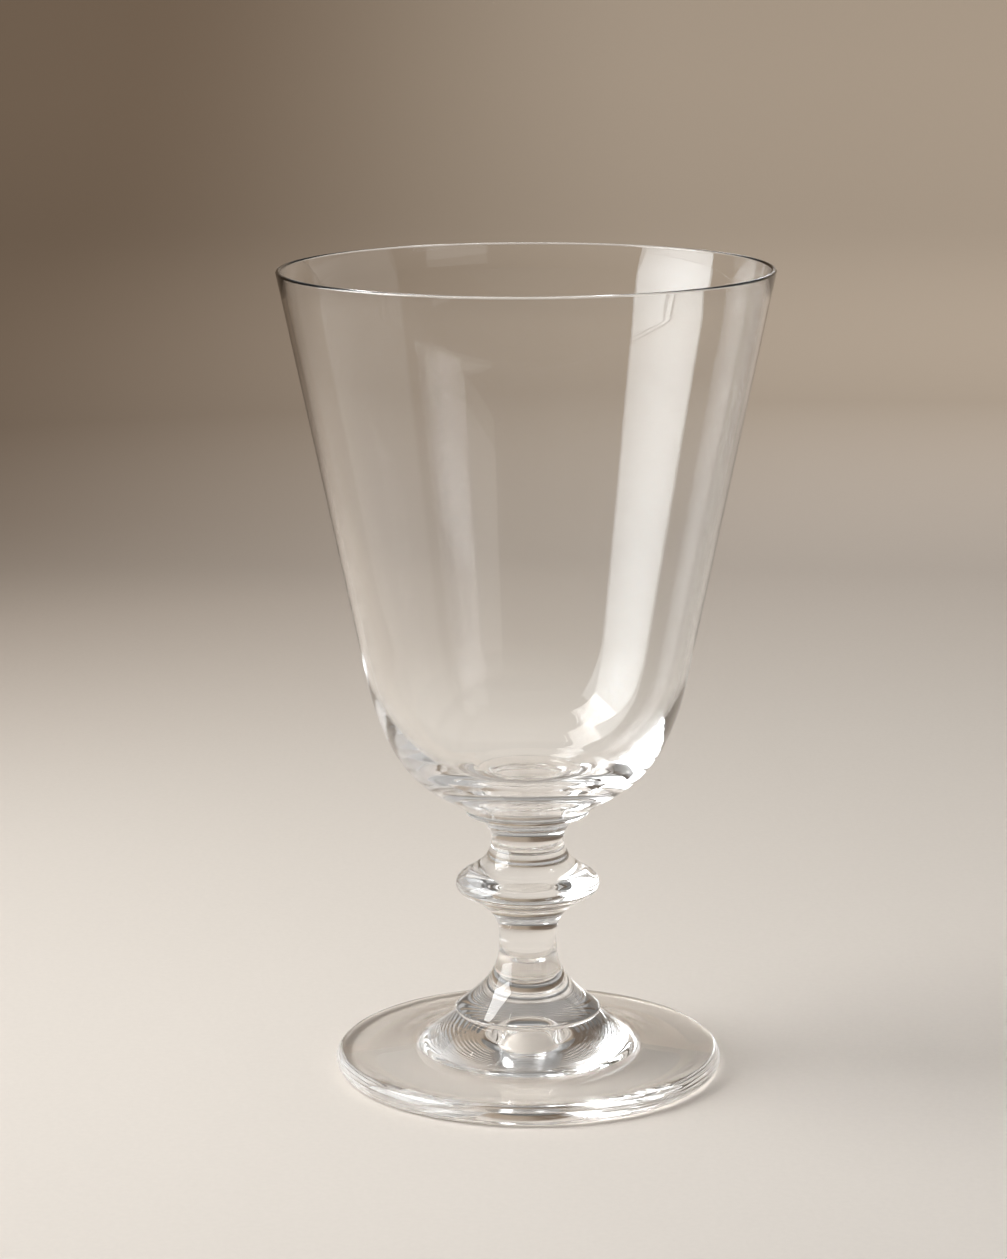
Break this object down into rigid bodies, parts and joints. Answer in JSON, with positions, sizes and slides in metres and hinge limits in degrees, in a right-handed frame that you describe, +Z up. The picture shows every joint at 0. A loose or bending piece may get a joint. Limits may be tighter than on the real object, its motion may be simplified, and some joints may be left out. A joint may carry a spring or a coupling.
{
  "type": "goblet",
  "caption": "Clear glass drinking goblet with a tapering open bowl, a short knopped stem and a round flared foot, for water or wine.",
  "frame": {"origin": "centre of the flat ring that the foot stands on", "axes": "+Z up along the axis of the stem and bowl; X and Y lie in the table plane and are alike"},
  "size_m": [0.09, 0.09, 0.1498],
  "materials": {
    "crystal": "clear, fire polished"
  },
  "bodies": {
    "root": {"foot": "crystal", "stem_bell": "crystal", "lower_stem": "crystal", "knop": "crystal", "upper_stem": "crystal", "bowl_collar": "crystal", "bowl": "crystal"}
  },
  "joints": []
}
